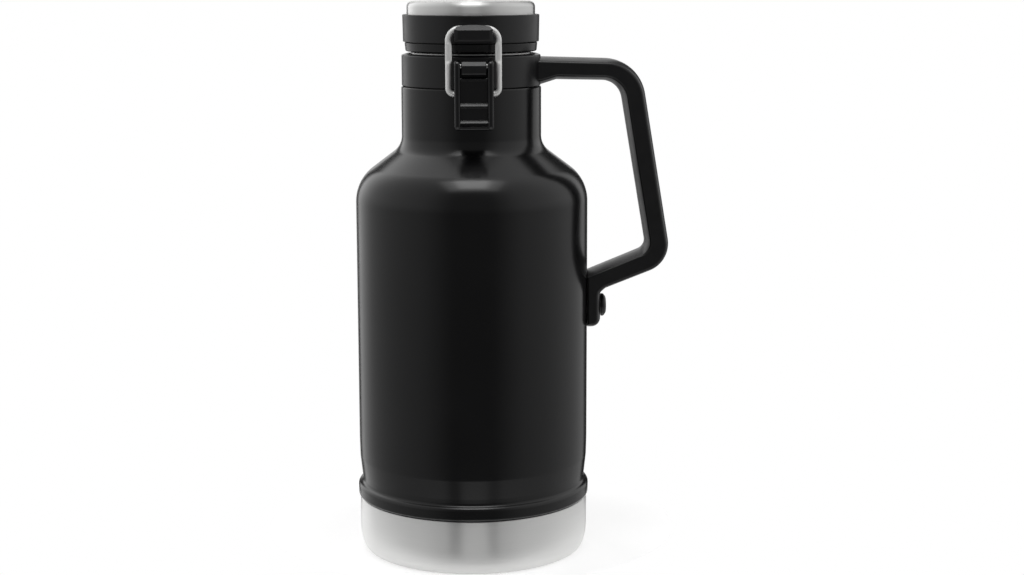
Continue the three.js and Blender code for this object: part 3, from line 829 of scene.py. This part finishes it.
def hinge_bracket():
    mount = pad("hinge_bracket", HINGE_HALF_WIDTH, COLLAR_PAD, 5, 35.9)
    ear_width = HINGE_HALF_WIDTH - KNUCKLE_HALF_WIDTH - GAP
    ear_side = [
        (36, 248.5), (38.6, 248.5, 1), (HINGE_Y + KNUCKLE_R, HINGE_Z - 5, 3),
        (HINGE_Y + KNUCKLE_R, HINGE_Z + KNUCKLE_R, KNUCKLE_FILLET),
        (HINGE_Y - KNUCKLE_R, HINGE_Z + KNUCKLE_R, KNUCKLE_FILLET),
        (HINGE_Y - KNUCKLE_R, HINGE_Z - 4), (36, 258.5),
    ]
    ear_x = HINGE_HALF_WIDTH - ear_width / 2
    ears = [plate("ear", ear_side, ear_width, middle=x, edge=0.4, plane=side_plane) for x in (-ear_x, ear_x)]
    return cut(
        join(mount, *ears),
        upright(COLLAR_R + GAP, *COLLAR_CUT),
        drill(HINGE_PIN_R + PIN_CLEARANCE, HINGE_Y, HINGE_Z),
    )


def hinge_pin():
    shank = rod(HINGE_PIN_R, HINGE_HALF_WIDTH + 0.6, HINGE_Y, HINGE_Z, round_ends=0.3)
    head = rod(HINGE_PIN_R + 0.9, 0.4, HINGE_Y, HINGE_Z, x=HINGE_HALF_WIDTH + 0.8, round_ends=0.2)
    return join(shank, head)


def lid_hinge_arm():
    top = 280
    knuckle = plate("knuckle", [
        (33, RING_LOW + 0.4), (36.2, RING_LOW + 0.4), (HINGE_Y - 3, HINGE_Z + 0.5),
        (HINGE_Y - KNUCKLE_R + 0.4, HINGE_Z - KNUCKLE_R, 3),
        (HINGE_Y + KNUCKLE_R, HINGE_Z - KNUCKLE_R, KNUCKLE_FILLET),
        (HINGE_Y + KNUCKLE_R, HINGE_Z + KNUCKLE_R, KNUCKLE_FILLET),
        (38.4, 273, 3), (37.8, top, 0.8), (33, top),
    ], 2 * KNUCKLE_HALF_WIDTH, edge=0.5, plane=side_plane)
    mount = pad("lid_hinge_arm", HINGE_HALF_WIDTH, (RING_LOW + 0.7, top), 4, 35.3)
    return cut(
        join(mount, knuckle),
        upright(RING_R + GAP, *RING_CUT),
        drill(HINGE_PIN_R + PIN_CLEARANCE, HINGE_Y, HINGE_Z),
    )


FINE_PIECES = (
    outer_shell, inner_vessel, inner_bottom, base_cup, handle, handle_screw_cap, latch_bracket, lever_pin,
    latch_lever, latch_bail, lid_ring, lid_body, lid_cap, plug_base, lid_gasket, lid_catch,
    hinge_bracket, hinge_pin, lid_hinge_arm,
)

for make in FINE_PIECES:
    finish_piece(make(), make.__name__)

# The CAD meshes get the same finishes. The pieces sealed inside have no others.
for part in frame["record"]["subparts"]:
    cad_piece = frame["nodes"][part["node"]]
    cad_piece.data.materials.clear()
    cad_piece.data.materials.append(MATERIALS[part["material_slot"]])

# ---------- camera ----------

# The yaw is from straight along +Y, towards the handle, and the pitch is downwards.
CAMERA_PLACE = Vector((-30.3, -978.8, 302.6)) * MM
CAMERA_YAW = math.radians(2.998)
CAMERA_PITCH = math.radians(9.481)
CAMERA_ROLL = math.radians(-0.131)
CAMERA_LENS = 66.02
SENSOR_WIDTH = 36


def make_camera():
    ahead = Vector((
        math.sin(CAMERA_YAW) * math.cos(CAMERA_PITCH),
        math.cos(CAMERA_YAW) * math.cos(CAMERA_PITCH),
        -math.sin(CAMERA_PITCH),
    ))
    level = Vector((math.cos(CAMERA_YAW), -math.sin(CAMERA_YAW), 0))
    above = level.cross(ahead)
    right = level * math.cos(CAMERA_ROLL) + above * math.sin(CAMERA_ROLL)
    up = above * math.cos(CAMERA_ROLL) - level * math.sin(CAMERA_ROLL)
    data = bpy.data.cameras.new("camera")
    data.lens = CAMERA_LENS
    data.sensor_width = SENSOR_WIDTH
    data.sensor_fit = "HORIZONTAL"
    camera = bpy.data.objects.new("camera", data)
    camera.matrix_world = Matrix.Translation(CAMERA_PLACE) @ Matrix((right, up, -ahead)).transposed().to_4x4()
    bpy.context.scene.collection.objects.link(camera)
    bpy.context.scene.camera = camera


# ---------- studio ----------

def area_light(name, place, target, width, height, radiance):
    """Soft box whose surface has the given radiance."""
    data = bpy.data.lights.new(name, "AREA")
    data.shape = "RECTANGLE"
    data.size = width
    data.size_y = height
    data.energy = radiance * math.pi * width * height
    lamp = bpy.data.objects.new(name, data)
    lamp.location = place
    aim = Vector(target) - Vector(place)
    lamp.rotation_euler = aim.to_track_quat("-Z", "Y").to_euler()
    bpy.context.scene.collection.objects.link(lamp)


FLOOR_R = 112
FLOOR_SIDES = 96
FLOOR_BACK = 38       # the floor is mostly behind, so that the dark front isn't lit from below
FLOOR_Z = -0.05       # just clear of the base


def make_floor():
    edge = [2 * math.pi * k / FLOOR_SIDES for k in range(FLOOR_SIDES)]
    vertices = [(FLOOR_R * math.cos(a), FLOOR_BACK + FLOOR_R * math.sin(a), FLOOR_Z) for a in edge]
    floor = new_object("floor", vertices, [list(range(FLOOR_SIDES))])
    finish = Finish("floor_paper", (0.8, 0.8, 0.8), 0.8, Specular_IOR_Level=0.1)
    finish.tint(finish.noise(30, detail=3), 0.99, 1.01)
    finish.shader.inputs["Emission Color"].default_value = (1, 1, 1, 1)
    finish.shader.inputs["Emission Strength"].default_value = 0.46
    floor.data.materials.append(finish.material)


# Light by compass bearing: degrees from the latch side towards the handle, and radiance.
# The front is dim, soft boxes fill both sides, and black flags part them from a white backdrop.
STUDIO = (
    (-180, 1.0), (-168, 1.0), (-165, 0.03), (-157, 0.03), (-154, 1.55), (-120, 0.85), (-88, 0.68),
    (-52, 0.5), (-22, 0.17), (20, 0.17), (50, 0.56), (100, 0.8), (147, 0.75), (150, 0.03), (165, 0.03),
    (168, 1.0), (180, 1.0),
)
# Light from below by compass bearing: a white table, with a dark strip on each side of its front.
TABLE = (
    (-180, 0.5), (-100, 0.5), (-60, 0.8), (-31, 1.25), (-27, 0.4), (-17, 0.4), (-13, 1.55), (12, 1.55),
    (16, 0.65), (24, 0.65), (28, 1.25), (60, 0.8), (100, 0.5), (180, 0.5),
)
PEAK = max(radiance for degrees, radiance in STUDIO + TABLE)
# Heights on the unit sphere of directions, where 1 is straight up.
BOXES_RISE = (-0.2, 0.14)      # the soft boxes grow from dim to full
BOXES_DIM = 0.6
TABLE_RISE = (-0.9, -0.6)      # the table too, outwards from under the object
TABLE_DIM = 0.3
TABLE_EDGE = (-0.65, -0.4)     # where the table gives way to the boxes


def make_world():
    """The camera sees plain white, and all else sees the studio's boxes, flags, backdrop and table."""
    world = bpy.data.worlds.new("studio")
    world.use_nodes = True
    bpy.context.scene.world = world
    nodes = world.node_tree.nodes
    links = world.node_tree.links

    def background(strength):
        node = nodes.new("ShaderNodeBackground")
        node.inputs["Color"].default_value = (1, 1, 1, 1)
        node.inputs["Strength"].default_value = strength
        return node

    def ranged(value, start, end, low, high):
        node = nodes.new("ShaderNodeMapRange")
        for socket, number in zip(("From Min", "From Max", "To Min", "To Max"), (start, end, low, high)):
            node.inputs[socket].default_value = number
        links.new(value, node.inputs["Value"])
        return node.outputs[0]

    def mixed(factor, first, second):
        node = nodes.new("ShaderNodeMixShader")
        links.new(factor, node.inputs["Fac"])
        links.new(first, node.inputs[1])
        links.new(second, node.inputs[2])
        return node.outputs[0]

    split = nodes.new("ShaderNodeSeparateXYZ")
    links.new(nodes.new("ShaderNodeTexCoord").outputs["Generated"], split.inputs[0])
    right, back, rise = split.outputs
    front = nodes.new("ShaderNodeMath")
    front.operation = "MULTIPLY"
    front.inputs[1].default_value = -1
    links.new(back, front.inputs[0])
    bearing = nodes.new("ShaderNodeMath")
    bearing.operation = "ARCTAN2"
    links.new(right, bearing.inputs[0])
    links.new(front.outputs[0], bearing.inputs[1])
    turn = ranged(bearing.outputs[0], -math.pi, math.pi, 0, 1)

    def by_bearing(table):
        ramp = nodes.new("ShaderNodeValToRGB")
        stops = ramp.color_ramp.elements
        for k, (degrees, radiance) in enumerate(table):
            where = (degrees + 180) / 360
            stop = stops[k] if k < 2 else stops.new(where)
            stop.position = where
            stop.color = (*[radiance / PEAK] * 3, 1)
        links.new(turn, ramp.inputs["Fac"])
        node = background(PEAK)
        links.new(ramp.outputs["Color"], node.inputs["Color"])
        return node

    boxes = by_bearing(STUDIO)
    links.new(ranged(rise, *BOXES_RISE, BOXES_DIM * PEAK, PEAK), boxes.inputs["Strength"])
    table = by_bearing(TABLE)
    links.new(ranged(rise, *TABLE_RISE, TABLE_DIM * PEAK, PEAK), table.inputs["Strength"])
    studio = mixed(ranged(rise, *TABLE_EDGE, 1, 0), boxes.outputs[0], table.outputs[0])
    seen = nodes.new("ShaderNodeLightPath").outputs["Is Camera Ray"]
    links.new(mixed(seen, studio, background(1.0).outputs[0]), nodes["World Output"].inputs["Surface"])
    nodes.remove(nodes["Background"])


make_camera()
make_floor()
make_world()
LIGHT_TARGET = (0, 0, 0.2)
area_light("overhead", (0, -0.36, 1.4), LIGHT_TARGET, 0.5, 0.56, 2.8)
area_light("overhead_skirt", (0, -0.44, 1.41), LIGHT_TARGET, 0.95, 0.75, 1.2)

bpy.context.scene.view_settings.view_transform = "Standard"
